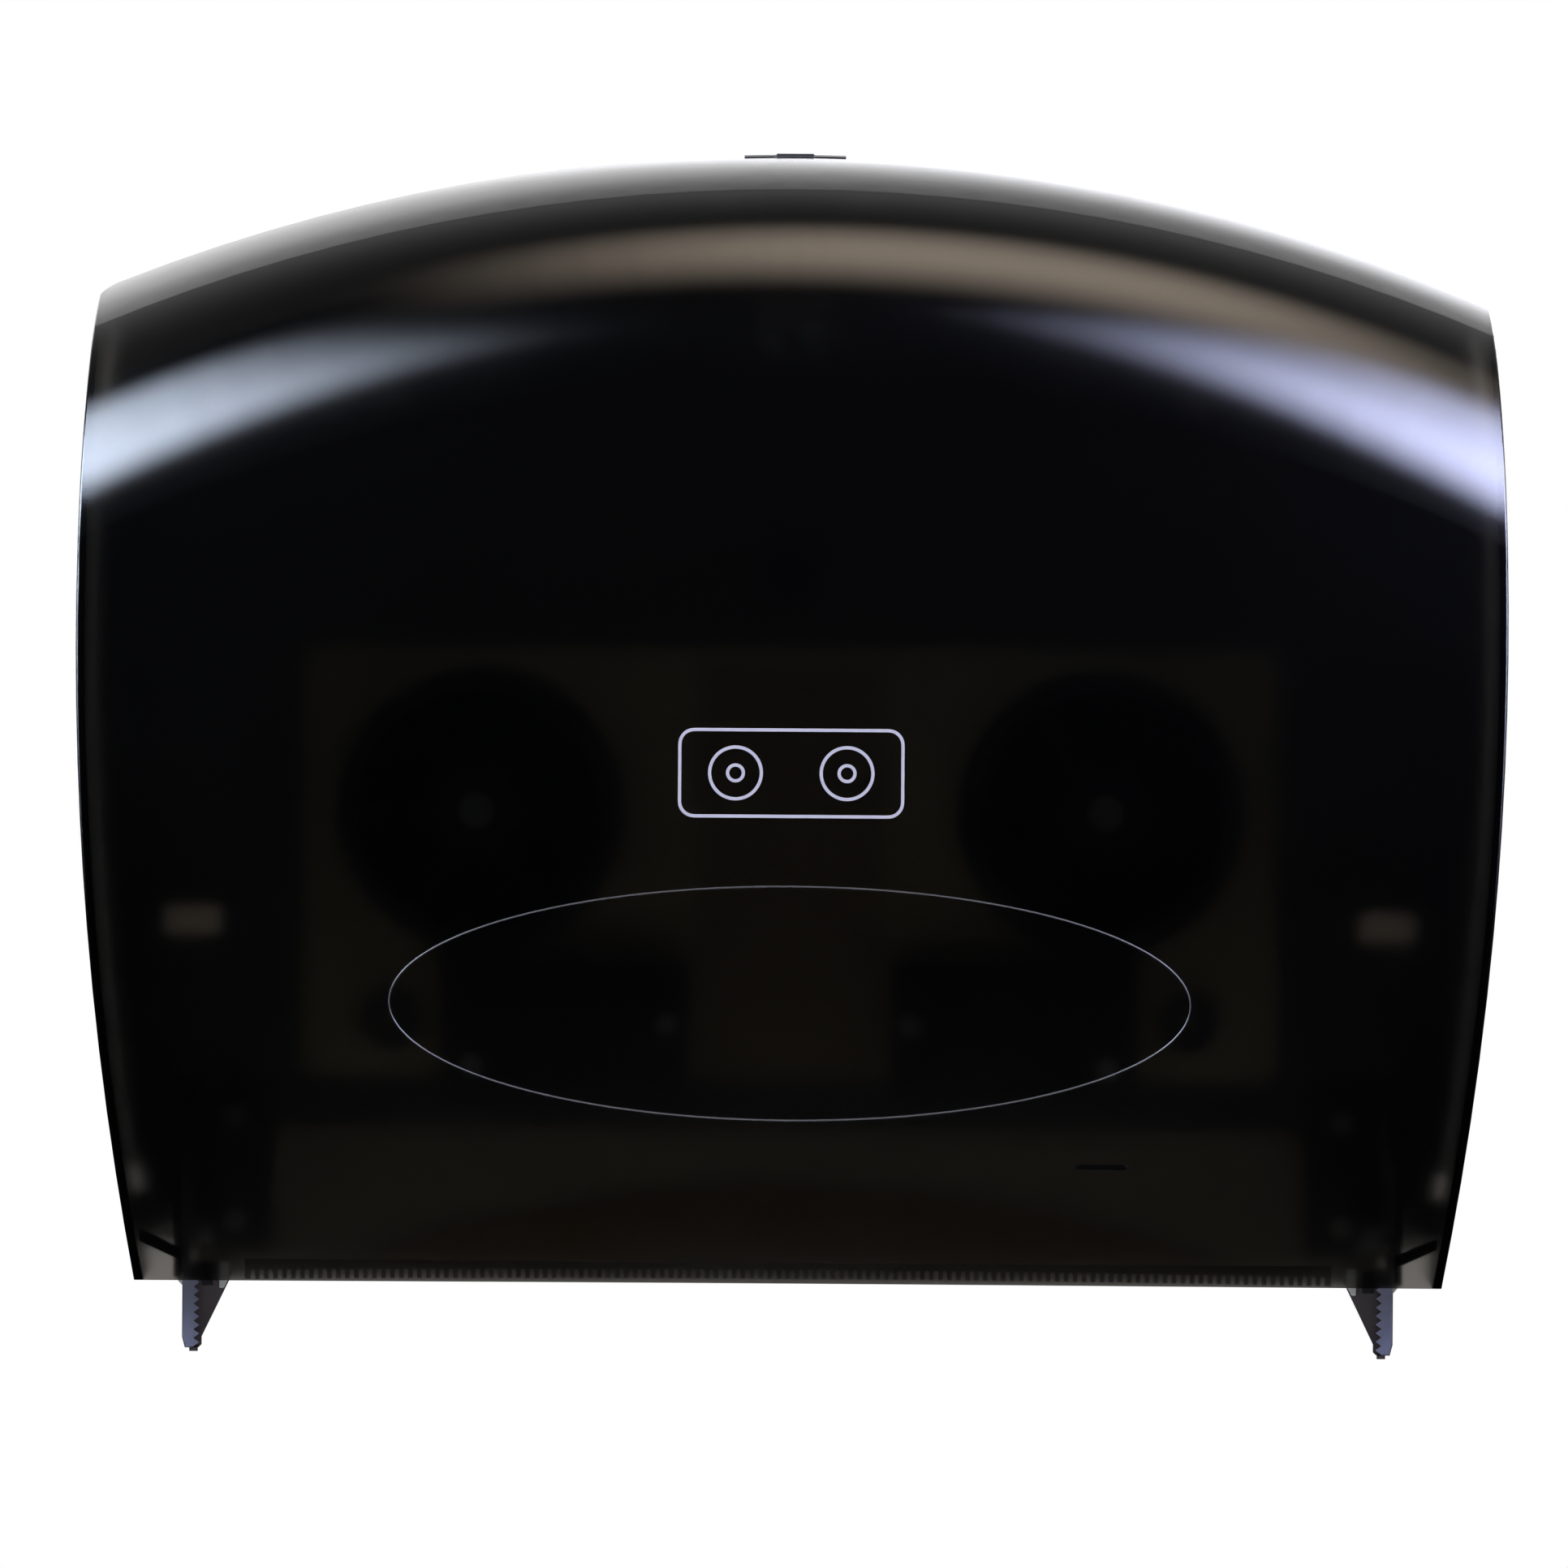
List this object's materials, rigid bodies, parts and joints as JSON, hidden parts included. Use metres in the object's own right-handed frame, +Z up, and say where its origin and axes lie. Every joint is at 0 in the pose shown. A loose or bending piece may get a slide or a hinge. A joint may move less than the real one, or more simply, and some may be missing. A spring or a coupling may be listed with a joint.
{
  "type": "toilet paper dispenser",
  "caption": "Wall-mounted cabinet for jumbo toilet paper rolls: arched smoke cover hinged at its foot, roll hubs inside, push latch on top, saw-toothed tear fins below.",
  "frame": {"origin": "centre of the wall screw holes, on the back face of the back plate", "axes": "+Z up, +Y into the wall, +X to the right as seen by someone facing the dispenser"},
  "size_m": [0.4058, 0.146, 0.34],
  "materials": {
    "smoke_cover": "smoke-tinted translucent polycarbonate, satin",
    "grey_plate": "moulded dark grey ABS, fine texture",
    "brown_guide": "moulded brown-grey ABS",
    "blank_panel": "off-white sheet, blank",
    "black_plastic": "moulded black ABS",
    "post_plastic": "moulded black acetal",
    "fin_plastic": "moulded smoke-brown polycarbonate",
    "bush_acetal": "natural acetal",
    "brake_felt": "pressed felt",
    "blade_steel": "stamped stainless strip",
    "pin_steel": "bright steel",
    "screw_steel": "zinc-plated steel"
  },
  "bodies": {
    "chassis": {"back_plate": "grey_plate", "paper_guide": "brown_guide", "instruction_plate": "blank_panel", "spindle_arm_left": "black_plastic", "spindle_arm_right": "black_plastic", "side_cheek_left": "black_plastic", "side_cheek_right": "black_plastic", "hub_retainer_left": "black_plastic", "hub_retainer_right": "black_plastic", "spindle_post_left": "post_plastic", "spindle_post_right": "post_plastic", "tear_fin_left": "fin_plastic", "tear_fin_right": "fin_plastic", "brake_washer_left": "brake_felt", "brake_washer_right": "brake_felt", "tear_blade_left": "blade_steel", "tear_blade_right": "blade_steel", "hinge_pin_left": "pin_steel", "hinge_pin_right": "pin_steel", "strike_plate": "pin_steel", "arm_screws": "screw_steel", "cheek_screws": "screw_steel", "fin_screws": "screw_steel", "retainer_screws": "screw_steel", "strike_screws": "screw_steel"},
    "cover": {"cover_shell": "smoke_cover", "tear_comb": "smoke_cover", "hinge_bush_left": "bush_acetal", "hinge_bush_right": "bush_acetal", "lock_housing": "black_plastic", "lock_bezel": "black_plastic", "lock_screws": "screw_steel", "hook_pin": "pin_steel", "button_spring": "pin_steel"},
    "left_hub": {"roll_hub_left": "black_plastic"},
    "right_hub": {"roll_hub_right": "black_plastic"},
    "button": {"lock_button": "black_plastic"},
    "hook": {"latch_hook": "black_plastic"}
  },
  "joints": [
    {"name": "cover_swing", "type": "hinge", "parent": "chassis", "child": "cover", "pos_m": [0, -0.018, -0.146], "axis": [1, 0, 0], "range_deg": [0, 85]},
    {"name": "left_hub_spin", "type": "hinge", "parent": "chassis", "child": "left_hub", "pos_m": [-0.0884, -0.05, -0.029], "axis": [0, 1, 0], "continuous": true},
    {"name": "right_hub_spin", "type": "hinge", "parent": "chassis", "child": "right_hub", "pos_m": [0.0884, -0.05, -0.029], "axis": [0, 1, 0], "continuous": true},
    {"name": "button_press", "type": "slide", "parent": "cover", "child": "button", "axis": [0, 0, -1], "range_m": [0, 0.003], "stiffness_N_per_m": 800, "deforming": ["button_spring"]},
    {"name": "hook_release", "type": "hinge", "parent": "cover", "child": "hook", "pos_m": [0, -0.009, 0.124], "axis": [1, 0, 0], "range_deg": [0, 28]}
  ],
  "couplings": [
    {"joint": "hook_release", "follows": "button_press", "rad_per_m": 111.1}
  ]
}
